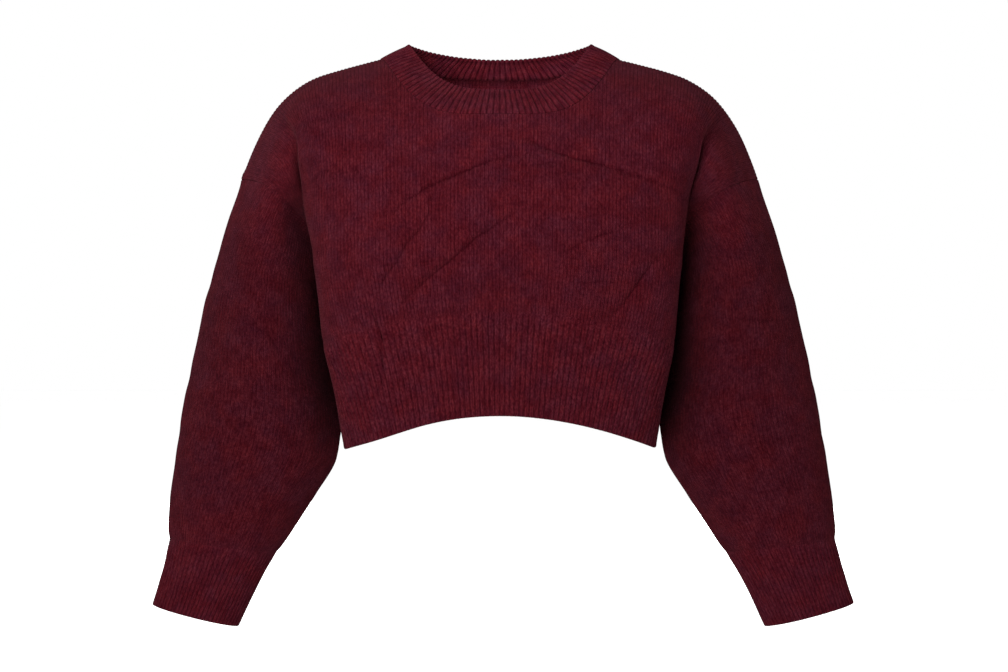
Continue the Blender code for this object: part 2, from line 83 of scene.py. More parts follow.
camera = placed("camera", bpy.data.cameras.new("camera"))
camera.location = (VIEW_X, -VIEW_DISTANCE, VIEW_Z)
camera.rotation_euler = (pi / 2, 0, 0)
camera.data.sensor_width = SENSOR
camera.data.lens = SENSOR * VIEW_DISTANCE / PICTURE_WIDTH
scene.camera = camera
print("lens", round(camera.data.lens, 1), "mm")

# %% [markdown]
# ## Light and floor
# Dark wool needs a lot of light from all round, or its folds turn black. A pale world gives that,
# wide lamps above, in front and behind give the folds their shape, a narrow one shines into the
# neck, and a pale floor below the cuffs sends light back up into the sleeves.

# %% Light the scene
scene.view_settings.view_transform = "Standard"
WHITE = (1.0, 1.0, 1.0, 1.0)
WORLD_LIGHT = 1.0
LAMPS = (  # name, place, size, watts
    ("lamp_above", (-0.6, -1.4, 1.6), (1.2, 0.9), 40),
    ("lamp_front", (-0.85, -2.95, -0.05), (1.4, 1.0), 120),
    ("lamp_behind", (0.5, 2.7, 0.3), (2.0, 1.3), 100),
)
AIM = (0.0, 0.0, -0.25)
NECK_LAMP, NECK_AIM = (-0.25, -1.8, 0.05), (-0.02, 0.0, -0.01)
NECK_WATTS, NECK_RADIUS, NECK_CONE = 82, 0.12, radians(15)

world = bpy.data.worlds.new("pale_studio")
world.use_nodes = True
background = world.node_tree.nodes["Background"]
background.inputs["Color"].default_value = WHITE
background.inputs["Strength"].default_value = WORLD_LIGHT
scene.world = world


def shine(light, at, aim):
    """Hang a lamp at a point, turned to where it aims."""
    lamp = placed(light.name, light)
    lamp.location = at
    towards = (np.array(aim) - at) / np.linalg.norm(np.array(aim) - at)
    yaw, pitch = atan2(towards[1], towards[0]), asin(towards[2])
    lamp.rotation_euler = (pi / 2 + pitch, 0, yaw - pi / 2)


for name, at, size, watts in LAMPS:
    light = bpy.data.lights.new(name, "AREA")
    light.shape = "RECTANGLE"
    light.size, light.size_y = size
    light.energy = watts
    shine(light, at, AIM)

light = bpy.data.lights.new("lamp_neck", "SPOT")
light.energy, light.shadow_soft_size = NECK_WATTS, NECK_RADIUS
light.spot_size, light.spot_blend = NECK_CONE, 1.0
shine(light, NECK_LAMP, NECK_AIM)
print(len(LAMPS) + 1, "lamps")

# %% Lay the floor
FLOOR_DROP = 40 * MM  # from the lowest cuff to the floor
FLOOR_SIZE, FLOOR_ROUGHNESS = 30.0, 0.9

half = FLOOR_SIZE / 2
floor_z = cad_low[2] - FLOOR_DROP
corners = [(x * half, y * half, floor_z) for x, y in ((-1, -1), (1, -1), (1, 1), (-1, 1))]
floor_mesh = bpy.data.meshes.new("floor")
floor_mesh.from_pydata(corners, [], [(0, 1, 2, 3)])
floor_paint = bpy.data.materials.new("pale_floor")
floor_paint.use_nodes = True
floor_shader = floor_paint.node_tree.nodes["Principled BSDF"]
floor_shader.inputs["Base Color"].default_value = WHITE
floor_shader.inputs["Roughness"].default_value = FLOOR_ROUGHNESS
floor_mesh.materials.append(floor_paint)
floor = placed("floor", floor_mesh)
print("floor at", round(floor_z, 3), "m")

# %% [markdown]
# ## Tables and curves
# The sweater's form is kept in short tables, with a row for each level of the trunk or each ring
# of a sleeve. A cubic that never overshoots joins the rows. Curves are divided evenly along their
# length, as a knitter counts stitches.

# %% Read tables and divide curves
DENSE = 1600  # samples along a section before it is divided evenly


def columns(names, rows):
    """A table as a dictionary: the name of each column to its values."""
    return dict(zip(names.split(), np.array(rows, float).T))


def read(table, column, level):
    """A column at any level, on a cubic through the table's rows that never overshoots them."""
    x, y = table["level"], table[column]
    step, rise = np.diff(x), np.diff(y) / np.diff(x)
    same_way = rise[1:] * rise[:-1] > 0
    weights = 2 * step[1:] + step[:-1], step[1:] + 2 * step[:-1]
    safe = np.where(same_way, rise[1:] * rise[:-1], 1)
    both = weights[0] * rise[1:] + weights[1] * rise[:-1]
    mean = sum(weights) * safe / np.where(same_way, both, 1)
    slope = np.concatenate([rise[:1], np.where(same_way, mean, 0), rise[-1:]])
    level = np.asarray(level, float)
    i = np.clip(np.searchsorted(x, level, side="right") - 1, 0, len(x) - 2)
    t = (level - x[i]) / step[i]
    start = y[i] * (1 + 2 * t) * (1 - t) ** 2 + slope[i] * step[i] * t * (1 - t) ** 2
    end = y[i + 1] * t**2 * (3 - 2 * t) + slope[i + 1] * step[i] * t**2 * (t - 1)
    return start + end


def lengths(points):
    """How far along a curve each of its points lies."""
    return np.concatenate([[0], np.cumsum(np.linalg.norm(np.diff(points, axis=0), axis=1))])


def evenly(points, shares):
    """Points of a curve at these shares of its length."""
    along = lengths(points)
    at = shares * along[-1]
    return np.stack([np.interp(at, along, points[:, k]) for k in range(3)], axis=-1)


def unit(vectors):
    """Vectors divided by their lengths."""
    return vectors / np.maximum(np.linalg.norm(vectors, axis=-1, keepdims=True), 1e-12)


def growing(distance, over):
    """A smooth step from 0 to 1 over a distance."""
    share = np.clip(distance / over, 0, 1)
    return share**2 * (3 - 2 * share)


def down_from_top(grid):
    """How far below the upper edge each point of a grid lies."""
    steps = np.linalg.norm(np.diff(grid, axis=0), axis=-1)
    return np.concatenate([np.zeros((1, grid.shape[1])), np.cumsum(steps, axis=0)])


def up_from_bottom(grid):
    """How far above the lower edge each point of a grid lies."""
    return down_from_top(grid[::-1])[::-1]


print("curves are divided from", DENSE, "samples")

# %% [markdown]
# ## The body's form
# Below the armholes the body is a tube, flatter than it is round, that narrows to the ribbed hem.
# Above them, the cloth of the chest and of the back turns over the shoulders to meet at the
# shoulder seams. It stands out round the top of each arm, and dips in a fold beside it.

# %% Say where the body's cloth lies
TRUNK = columns(
    "level z_mid z_side side_x side_y "
    "front_y front_fold_x front_fold_y back_y back_fold_x back_fold_y square",
    (
        (0, -352, -385, 151.5, 2, -115, 153, -22, 97, 152.5, 24, 2.3),
        (0.5, -303, -334, 157, 6, -121, 160.5, -34, 99, 159.5, 36, 2.5),
        (1, -252, -279, 165.5, 9, -130, 172.5, -46, 104, 171, 48, 2.8),
        (1.5, -228, -241, 170, 11, -135, 176.5, -52, 108, 175, 54, 3),
        (2, -205, -205, 173, 12, -138, 180, -56, 111, 178, 58, 3.1),
    ),
)
HEM_LEVEL, RIB_LEVEL, CHEST_LEVEL = 0.0, 1.0, 2.0
ARCH_POWER = 1.9  # how late a level leaves its height at the centre line
SIDE_SHARE = 0.3  # of a half section's samples, those between the fold and the side seam


def half_section(level, back, shares):
    """Half of the trunk's section at a level: a superellipse across the face, to where the cloth
    folds, and half a cosine wave from there to the side seam."""
    at = {name: read(TRUNK, name, level) for name in TRUNK}
    face = "back_" if back else "front_"
    fold_x, fold_y, middle_y = (at[face + end] for end in ("fold_x", "fold_y", "y"))
    power = 2 / at["square"]
    angle = np.linspace(0, pi / 2, round(DENSE * (1 - SIDE_SHARE)))
    face_x = fold_x * np.sin(angle) ** power
    face_y = fold_y + (middle_y - fold_y) * np.clip(np.cos(angle), 0, 1) ** power
    round_side = np.linspace(0, 1, round(DENSE * SIDE_SHARE))[1:]
    side_x = at["side_x"] + (fold_x - at["side_x"]) * (1 + np.cos(pi * round_side)) / 2
    side_y = fold_y + (at["side_y"] - fold_y) * round_side
    x, y = np.concatenate([face_x, side_x]), np.concatenate([face_y, side_y])
    drop = np.minimum(x / at["side_x"], 1) ** ARCH_POWER
    z = at["z_mid"] + (at["z_side"] - at["z_mid"]) * drop
    return evenly(np.stack([x, y, z], axis=1) * MM, shares)


across = [lengths(half_section(CHEST_LEVEL, back, np.linspace(0, 1, DENSE))) for back in (0, 1)]
print("the chest's cloth is", round(2 * sum(half[-1] for half in across) / MM), "mm round")

# %% Turn it over the shoulders
NECK_X = 118 * MM
SHOULDER_Y = 5 * MM
SHOULDER_REACH = 139 * MM
SHOULDER_SLOPE = 0.25
SHOULDER_ROLL = 84.2 * MM
ROLL_POWER = 4.7
NECK_TURN = (radians(49), radians(29.5))  # in front and behind, like the next two
NECK_POWER = (3.7, 2.4)
REACH_POWER = (1.1, 0.88)
NECK_WIDTH = 116.5 * MM  # from the centre line to where the neckline would be steepest
CORNER = 3 * MM  # how far each side of that the neckline runs straight, over the shoulder
WALE_POWER = 1.3
BULGE = 74 * MM
BULGE_START, BULGE_POWER, BULGE_PEAK = 0.2, 1.2, 0.75
FOLD_AT, FOLD_WIDTH, FOLD_POWER = 0.785, 0.032, 1.5
FOLD_DEPTH = 15 * MM
FOLD_LEAN = 0.04  # how much nearer to the neck the fold beside the arm lies at the shoulder


def shoulder_line(shares):
    """The shoulder seam: a straight slope, less a high power that rolls it off."""
    across = np.linspace(0, SHOULDER_REACH, DENSE)
    fall = SHOULDER_SLOPE * across + SHOULDER_ROLL * (across / SHOULDER_REACH) ** ROLL_POWER
    line = np.stack([NECK_X + across, np.full(DENSE, SHOULDER_Y), -fall], axis=1)
    return evenly(line, shares), lengths(line)[-1]


SHOULDER_LENGTH = shoulder_line(np.zeros(1))[1]
NECK_SHARE = NECK_X / (NECK_X + SHOULDER_LENGTH)


def top_line(u):
    """Where each wale would start: a low arch across the open neck, then the shoulder seam."""
    inside = np.clip(u / NECK_SHARE, 0, 1)
    crown = SHOULDER_SLOPE * NECK_X / 2
    arch = [NECK_X * inside, np.full_like(u, SHOULDER_Y), crown * (1 - inside**2)]
    shoulder, _ = shoulder_line(np.clip((u - NECK_SHARE) / (1 - NECK_SHARE), 0, 1))
    return np.where((u <= NECK_SHARE)[..., None], np.stack(arch, axis=-1), shoulder)


def neck_turn(u, back):
    """How far round the yoke the neckline lies: a superellipse over the neck, then a straight line
    across its corner, and 0 past it."""
    across = u * (NECK_X + SHOULDER_LENGTH)
    bend = NECK_WIDTH - CORNER
    share = np.clip(across, 0, bend) / NECK_WIDTH
    curve = NECK_TURN[back] * np.sqrt(1 - share ** NECK_POWER[back])
    return curve * np.clip(1 - (across - bend) / (2 * CORNER), 0, 1)


def yoke(u, turn, back):
    """The cloth over the chest or back: a quarter turn from the top line to the chest level, with
    powers of the sine for how fast it reaches out, plus a bulge and less a dip beside the arm."""
    top, chest = top_line(u), half_section(CHEST_LEVEL, back, u)
    reach = np.sin(turn) ** REACH_POWER[back]
    rising = np.clip((u - BULGE_START) / (1 - BULGE_START), 0, 1)
    round_arm = np.clip(np.sin(2 * turn), 0, 1) ** BULGE_POWER * np.cos(turn) / BULGE_PEAK
    bulge = BULGE * rising**2 * (3 - 2 * rising) * round_arm
    past = np.clip((u - FOLD_AT + FOLD_LEAN * np.cos(turn) ** 2) / FOLD_WIDTH, 0, None)
    dip = FOLD_DEPTH * (past * np.exp(1 - past)) ** FOLD_POWER * np.sin(2 * turn) ** 2
    share = np.stack([np.sin(turn) ** WALE_POWER, reach, 1 - np.cos(turn)], axis=-1)
    points = top + (chest - top) * share
    points[..., 1] += (1 if back else -1) * (bulge - dip)
    return points


print("half the yoke is", round((NECK_X + SHOULDER_LENGTH) / MM), "mm wide")

# %% [markdown]
# ## The sleeves' form
# A sleeve starts at the dropped armhole, is fullest above the elbow, and is gathered into its
# cuff. Each ring of it goes from its outer point round the back to its inner point, and the rings
# near the armhole take on the armhole's own shape. The right sleeve is the left one mirrored.

# %% Say where the sleeve's cloth lies
SLEEVE = columns(
    "level out_x out_z in_x in_z mid_y front_d back_d",
    (
        (0, 257, -119, 173, -205, 12, 76, 74),
        (0.3, 260.5, -130, 179.5, -211, 13, 80, 78),
        (1, 271, -159, 182, -230, 14, 80, 79),
        (2, 282.5, -199, 180, -256, 15, 79, 78),
        (3, 294, -239, 175.5, -288, 15, 75, 75),
        (4, 303, -279, 168.5, -324, 14, 69, 70),
        (5, 311.5, -319, 161.5, -361, 12, 60, 62),
        (6, 319, -359, 166.5, -396, 9, 55, 57),
        (7, 324.5, -399, 186.5, -431, 5, 51, 53),
        (8, 328, -439, 206, -461, 0, 47, 48),
        (8.7, 329.3, -466, 219, -481, -4, 44, 45),
        (9, 328.6, -476, 225, -489, -6, 41, 42),
        (9.5, 332.3, -497, 237, -507, -9, 38, 38),
        (10, 338.8, -520, 248.5, -529, -12, 34, 34),
        (11, 344.3, -543, 263.5, -563, -17, 29, 29),
    ),
)
EASE_ROWS = (  # how far the left and the right sleeve hang out of true
    (
        (0, 0, 0, 0), (6, 0.1, 0.5, 0), (7, 0.9, 1, 0), (8, 2.7, 1, 0), (9, 4.3, 0.9, 0),
        (10, 4.7, 0.9, 0.6), (11, 5.8, 1.6, 2.2),
    ),
    (
        (0, 0, 0, 0), (6, -0.9, -0.8, 0), (7, -1.3, -1.2, 0), (8, 0.1, -1.6, 0),
        (9, -0.1, -1.6, 0), (10, -1.2, -2.4, 0), (11, -0.5, -1.8, 0.7),
    ),
)
EASE = [columns("level out_x in_x out_z", rows) for rows in EASE_ROWS]
CUFF_LEVEL, WRIST_LEVEL = 9.0, 11.0
SEAM_FADE = 1.6  # the level by which a ring no longer follows the armhole
HOLLOW = 0.8  # how much a sleeve's inner front falls away beside the hem, as a power of the sine
HOLLOW_LEVEL, HOLLOW_SPREAD = 4.6, 1.8


def armhole(turn):
    """The left armhole: the yoke's last wale at half the turn, behind if the turn is positive."""
    edge, quarter = np.ones_like(turn), np.abs(turn) / 2
    return np.where((turn >= 0)[:, None], yoke(edge, quarter, True), yoke(edge, quarter, False))


def plain_ring(level, turn, ease):
    """Half ellipses, back and front, between the sleeve's outer and inner points. The inner half
    of the front is hollowed by a power of the sine."""
    at = {name: read(SLEEVE, name, level) for name in list(SLEEVE)[1:]}
    for name in list(ease)[1:]:
        at[name] = at[name] + read(ease, name, level)
    depth = np.where(turn >= 0, at["back_d"], at["front_d"])
    inner_front = (turn < 0) & (np.cos(turn) < 0)
    hollow = HOLLOW * np.exp(-(((level - HOLLOW_LEVEL) / HOLLOW_SPREAD) ** 2)) * inner_front
    forward = np.sin(turn) * np.abs(np.sin(turn)) ** hollow
    outer = (1 + np.cos(turn)) / 2
    x = at["in_x"] + (at["out_x"] - at["in_x"]) * outer
    z = at["in_z"] + (at["out_z"] - at["in_z"]) * outer
    return np.stack([x, at["mid_y"] + depth * forward, z], axis=-1) * MM


def sleeve_rings(levels, turns, right):
    """Rings of a sleeve at +X, plus the armhole's difference from the first one, faded out."""
    ease = EASE[right]
    level, turn = np.meshgrid(levels, turns, indexing="ij")
    fade = np.clip(1 - level / SEAM_FADE, 0, 1)[..., None]
    to_seam = armhole(turns) - plain_ring(np.zeros_like(turns), turns, ease)
    return plain_ring(level, turn, ease) + to_seam * fade**2 * (3 - 2 * fade)


around = lengths(armhole(np.linspace(-pi, pi, DENSE)))[-1]
print("an armhole is", round(around / MM), "mm round")

# %% [markdown]
# ## Creases
# Wool that has been folded and worn keeps a few soft creases. Each is a line through a few
# points, as seen from one side of the sweater. The cloth goes inwards along it, and swells a
# little beside it. It acts on every piece that it crosses, so it runs on over a seam.

# %% List the creases
FRONT_CREASES = (  # each is a depth, a width, and the places of its points, in millimetres
    (2.5, 3, -102, -157, -94, -148, -64, -129, -35, -117, -6, -105, 30, -99),
    (2.4, 2.8, 24, -84, 43, -94, 67, -103, 97, -110, 127, -119, 156, -129, 176, -137),
    (2.5, 3.2, 20, -152, -4, -169, -23, -181, -45, -201, -70, -221, -96, -245),
    (2.1, 2.9, -62, -150, -76, -172, -89, -186, -98, -203, -111, -220, -119, -238),
    (1.8, 2.9, 132, -165, 102, -177, 78, -186, 58, -198),
    (2.1, 3, 160, -196, 146, -205, 136, -220, 124, -237, 108, -256),
    (1.6, 3, -195, -131, -179, -123, -156, -111, -143, -94),
    (2.3, 2.8, -130, -244, -120, -258, -114, -274, -113, -296, -112, -319),
    (1.5, 2.8, -72, -269, -55, -267, -38, -265),
    (1.2, 2.8, -196, -70, -168, -66, -142, -60),
    (1.6, 2.6, 5, -127, 13, -125, 22, -127),
    (1.5, 2.6, 30, -113, 41, -110, 54, -109),
    (0.8, 2.8, 43, -122, 62, -119, 82, -119),
    (1.3, 2.6, 92, -144, 98, -151, 104, -158),
    (1.2, 2.6, -61, -134, -67, -146, -69, -160),
    (1.1, 2.8, 10, -218, 24, -216, 39, -216),
    (1.2, 2.8, 71, -225, 92, -223, 114, -224),
    (1.2, 2.8, 139, -109, 150, -115, 160, -119),
    (1.3, 3, 183, -176, 193, -173, 204, -170),
    (1.1, 3, 240, -258, 268, -260, 300, -258),
    (1.2, 3, -242, -262, -226, -276, -214, -296),
    (2.2, 11, -94, -150, -35, -121, 29, -102),
    (2.2, 12, 20, -158, -45, -204, -100, -248),
    (1.8, 11, 20, -84, 97, -112, 176, -138),
    (1.7, 11, -55, -152, -98, -203, -122, -240),
    (1.5, 11, 165, -196, 136, -220, 106, -260),
    (1.7, 10, 186, -172, 196, -186, 199, -214, 192, -246),
    (1.7, 9, -262, -232, -274, -262, -280, -300),
    (2, 9, 226, -322, 258, -346, 286, -352),
    (1.8, 9, -222, -352, -262, -372, -296, -366),
    (1.7, 8, 232, -412, 272, -420, 306, -412),
    (1.7, 8, -240, -428, -282, -424, -308, -432),
)
BACK_CREASES = (
    (2.3, 3.2, -48, -92, -84, -101, -124, -118, -166, -148),
    (2, 3, 62, -98, 98, -108, 138, -124, 174, -152),
    (2.1, 3.2, -26, -166, 16, -174, 62, -186, 112, -212),
    (2, 3, -152, -190, -126, -204, -98, -220, -66, -238),
    (1.8, 3, 118, -240, 110, -262, 108, -300),
    (2.1, 12, -48, -95, -110, -116, -168, -150),
    (2, 12, 62, -101, 120, -120, 174, -152),
    (2, 12, -26, -170, 40, -184, 114, -216),
    (1.8, 12, -152, -192, -110, -214, -64, -240),
    (1.8, 9, -214, -250, -246, -272, -280, -276),
    (1.8, 9, 214, -262, 244, -284, 284, -282),
    (2, 9, -190, -338, -228, -356, -288, -350),
    (2, 9, 190, -330, 236, -352, 294, -346),
    (1.7, 8, -232, -424, -276, -416, -318, -428),
    (1.7, 8, 228, -418, 276, -424, 316, -414),
)
SIDE_CREASES = (
    (0.7, 9, -44, -214, -12, -226, 30, -222),
    (0.6, 9, -34, -306, 4, -318, 48, -306),
    (0.5, 9, -38, -380, 0, -372, 40, -384),
)
SIDES = (  # the creases of each side, the axes that they are seen along, and where it faces
    (FRONT_CREASES, (0, 2), (0, -1, 0)),
    (BACK_CREASES, (0, 2), (0, 1, 0)),
    (SIDE_CREASES, (1, 2), (1, 0, 0)),
    (SIDE_CREASES, (1, 2), (-1, 0, 0)),
)
print(sum(len(creases) for creases, _, _ in SIDES), "creases")

# %% Dent the cloth along a crease
# The narrowest creases also get a line of painted shade in the cloth's colour.
CREASE_SAMPLES = 24
CREASE_REACH = 4  # how far from its line a crease is worked out, in widths
CREASE_END = 0.35  # how deep a crease still is where it ends
BESIDE, SWELL = 2.1, 0.3  # where the cloth swells beside a crease, in widths, and how much
SHARPEST = 3.5  # up to this width, in millimetres, a crease gets a line of painted shade
SHALLOW = 0.7  # what is left of the depth of such a crease
LINE_WIDTH, DARKEST = 1.35 * MM, 2.4  # the width of that line of painted shade, and the crease depth at which it is darkest
LINE_END = 0.08  # how much of the line's fading is cut off at each end
WAVER = ((0.4, 17.0), (0.25, 7.3))  # how far such a crease wavers and how long its waves are


def crease_dent(flat, crease):
    """How far cloth goes in at points seen from one side: a bell curve of the distance from the
    crease's line, less a lower one beside it. And how dark the painted shade along that line is.
    Both fade at its ends."""
    depth, width, *points = crease
    points = np.array(points, float).reshape(-1, 2) * MM
    sharp = width <= SHARPEST
    width = width * MM
    if sharp:
        turned = 2 * pi * flat[..., ::-1]
        flat = flat + sum(much * np.sin(turned / (long * MM)) for much, long in WAVER) * MM
    fine = np.linspace(0, len(points) - 1, CREASE_SAMPLES)
    rough = np.arange(len(points))
    soft = np.stack([np.interp(fine, rough, points[:, k]) for k in (0, 1)], axis=1)
    soft[1:-1] = (soft[:-2] + 2 * soft[1:-1] + soft[2:]) / 4
    low, high = soft.min(0) - CREASE_REACH * width, soft.max(0) + CREASE_REACH * width
    near = ((flat > low) & (flat < high)).all(axis=-1)
    start, step = soft[:-1], np.diff(soft, axis=0)
    offset = flat[near][:, None] - start
    share = np.clip((offset * step).sum(-1) / (step**2).sum(-1), 0, 1)
    gap = np.linalg.norm(offset - share[..., None] * step, axis=-1)
    nearest = gap.argmin(axis=1)
    row = np.arange(len(nearest))
    along = (nearest + share[row, nearest]) / len(start)
    off = gap[row, nearest] / width
    taper = CREASE_END + (1 - CREASE_END) * np.sqrt(np.clip(np.sin(pi * along), 0, 1))
    dent, painted_shade = np.zeros((2, *flat.shape[:-1]))
    held = depth * (SHALLOW if sharp else 1) * taper
    dent[near] = held * (np.exp(-(off**2)) - SWELL * np.exp(-((off - BESIDE) ** 2)))
    fading = np.clip(np.sin(pi * (LINE_END + (1 - 2 * LINE_END) * along)), 0, 1)
    # painted shade: a dark line along each narrow crease
    painted_shade[near] = sharp * depth / DARKEST * fading * np.exp(-((off * width / LINE_WIDTH) ** 2))
    return dent * MM, painted_shade


# %% Wear the cloth
FACING = 1.15  # how soon a crease fades where the cloth turns away from its side
DROOP = 3.3 * MM  # how much lower the hem hangs at one place, its right side
DROOP_X, DROOP_WIDTH = -116 * MM, 40 * MM
DROOP_START, DROOP_OVER = -290 * MM, 65 * MM  # the level where it starts, and how fast it grows
TUGS = (  # cloth pulled aside, in millimetres: the place, the reach, the move in X
    ((-190, -58, -155), (26, 60, 32), -6.5),
    ((-207, -55, -82), (18, 60, 22), 9.0),
    ((-258, 5, -115), (14, 60, 5), -1.3),
    ((206, -55, -84), (18, 60, 22), -9.0),
    ((192, -56, -125), (24, 60, 24), -3.0),
    ((184, -58, -235), (26, 60, 75), -4.5),
)
UNEVEN = 0.25 * MM  # how far the cloth wanders from its form between its creases
UNEVEN_WAVES = 14
UNEVEN_SHORTEST, UNEVEN_LONGEST = 26 * MM, 90 * MM
rng = np.random.default_rng(7)
wave_direction = unit(rng.normal(size=(UNEVEN_WAVES, 3)))
wave_number = 2 * pi / rng.uniform(UNEVEN_SHORTEST, UNEVEN_LONGEST, UNEVEN_WAVES)
wave_phase = rng.uniform(0, 2 * pi, UNEVEN_WAVES)


def worn(points, normals):
    """Cloth with its creases, its tugs, its droop, and a few long waves that leave no part of it
    quite even. And how dark the painted shade of a crease's line is at each point."""
    dent, painted_shade = np.zeros((2, *points.shape[:-1]))
    for creases, axes, direction in SIDES:
        facing = np.clip(FACING * (normals @ direction), 0, 1) ** 2
        for crease in creases:
            one_dent, one_painted_shade = crease_dent(points[..., axes], crease)
            dent += facing * one_dent
            painted_shade = np.maximum(painted_shade, facing * one_painted_shade)
    wander = np.sin((points @ wave_direction.T) * wave_number + wave_phase).sum(axis=-1)
    rise = UNEVEN * wander / sqrt(UNEVEN_WAVES) - dent
    points = points + normals * rise[..., None]
    for place, reach, move in TUGS:
        away = (points - np.array(place) * MM) / (np.array(reach) * MM)
        points[..., 0] += move * MM * np.exp(-(away**2).sum(axis=-1))
    low = growing(DROOP_START - points[..., 2], DROOP_OVER)
    points[..., 2] -= DROOP * low * np.exp(-(((points[..., 0] - DROOP_X) / DROOP_WIDTH) ** 2))
    return points, painted_shade


# %% [markdown]
# ## From a sheet of points to a wall of cloth
# Each piece starts as a grid of points half way through its cloth. The wall's outer surface gets
# every wale or rib, and its inner surface, which is hardly seen, gets fewer points. Where an edge
# is sewn or free the two curve together, as cloth does at a seam. Where one piece is knitted on to
# the next they stay apart, so that the cloth runs on.

# %% Round the edges
LEAST_EDGE = 0.45  # what is left of the wall's thickness at a rounded edge
EDGE_STEPS = (0.2, 0.5, 0.9, 1.6)  # extra rows beside a rounded edge, in millimetres from it
EDGE_ROWS = 14  # rows or columns beside an edge that its rounding may reach


def grid_normals(grid, closed):
    """The outward direction at each point: across its column, times along its row."""
    down = np.gradient(grid, axis=0)
    if closed:
        ring = grid[:, :-1]
        across = np.roll(ring, -1, axis=1) - np.roll(ring, 1, axis=1)
        across = np.concatenate([across, across[:, :1]], axis=1)
    else:
        across = np.gradient(grid, axis=1)
    return unit(np.cross(down, across))


def from_edge(points, edge):
    """How far each point lies from an edge: from its nearest sample, square to the edge there."""
    tangent = unit(np.gradient(edge, axis=0))
    flat = points.reshape(-1, 3)
    squared = (flat**2).sum(1)[:, None] + (edge**2).sum(1) - 2 * flat @ edge.T
    nearest = squared.argmin(axis=1)
    gap = np.cross(flat - edge[nearest], tangent[nearest])
    return np.linalg.norm(gap, axis=1).reshape(points.shape[:-1])


def rounding(grid, radii):
    """The share of the wall's thickness at each point: a quarter circle of the distance from each
    edge that has a radius."""
    share = np.ones(grid.shape[:2])
    places = {
        "top": (np.s_[:EDGE_ROWS], grid[0]),
        "bottom": (np.s_[-EDGE_ROWS:], grid[-1]),
        "left": (np.s_[:, :EDGE_ROWS], grid[:, 0]),
        "right": (np.s_[:, -EDGE_ROWS:], grid[:, -1]),
    }
    for side, radius in radii.items():
        place, edge = places[side]
        inside = 1 - np.clip(from_edge(grid[place], edge) / radius, 0, 1)
        share[place] = np.minimum(share[place], np.sqrt(1 - inside**2))
    return LEAST_EDGE + (1 - LEAST_EDGE) * share


# %% Make a mesh from arrays
def thinned(count, stride):
    """Every place near both ends of a row, and every stride-th one between them."""
    ends = len(EDGE_STEPS) + 1
    kept = np.arange(ends), np.arange(ends, count - ends, stride), np.arange(count - ends, count)
    return np.unique(np.concatenate(kept))


def edge_keys(edges):
    """One whole number for each edge, whichever way round it runs."""
    return edges.min(axis=1).astype(np.int64) << 32 | edges.max(axis=1).astype(np.int64)


def new_mesh(name, points, faces, places, sharp, shares):
    """A mesh from blocks of faces with three or four corners, blocks of the knit's wale and row at
    each corner, the edges that are sharp, and, by name, a number for each point."""
    mesh = bpy.data.meshes.new(name)
    corners = np.concatenate([block.ravel() for block in faces])
    sizes = np.concatenate([np.full(len(block), block.shape[1]) for block in faces])
    starts = np.concatenate([[0], np.cumsum(sizes)[:-1]])
    for items, label, values in (
        (mesh.vertices, "co", points.astype(np.float32)),
        (mesh.loops, "vertex_index", corners.astype(np.int32)),
        (mesh.polygons, "loop_start", starts.astype(np.int32)),
    ):
        items.add(len(values))
        items.foreach_set(label, values.ravel())
    mesh.update(calc_edges=True)
    edges = np.zeros(2 * len(mesh.edges), np.int32)
    mesh.edges.foreach_get("vertices", edges)
    is_sharp = np.isin(edge_keys(edges.reshape(-1, 2)), edge_keys(sharp))
    mesh.attributes.new("sharp_edge", "BOOLEAN", "EDGE").data.foreach_set("value", is_sharp)
    for label, values in shares.items():
        values = values.astype(np.float32)
        mesh.attributes.new(label, "FLOAT", "POINT").data.foreach_set("value", values)
    flat = np.concatenate([block.reshape(-1, 2) for block in places]).astype(np.float32)
    mesh.uv_layers.new(name="knit").uv.foreach_set("vector", flat.ravel())
    mesh.shade_smooth()
    return mesh


def rim(outer, inner, held, flip):
    """Triangles between an outer edge and an inner edge, which holds only some of its places."""
    before = np.searchsorted(held, np.arange(len(outer)), side="right") - 1
    there = inner[before]
    first = np.stack([outer[:-1], outer[1:], there[:-1]], axis=1)
    moved = before[1:] != before[:-1]
    second = np.stack([outer[1:], there[1:], there[:-1]], axis=1)[moved]
    both = np.concatenate([first, second])
    return both[:, ::-1] if flip else both


def quads(index):
    """The four-cornered faces between the places of a grid."""
    low, high = index[:-1], index[1:]
    return np.stack([low[:, :-1], high[:, :-1], high[:, 1:], low[:, 1:]], axis=-1).reshape(-1, 4)


# %% Build a wall of cloth
KNIT_WALL = 2.4 * MM
INSIDE_STARTS = 7 * MM  # from its upper and lower edge to where the inner side's painted light is full
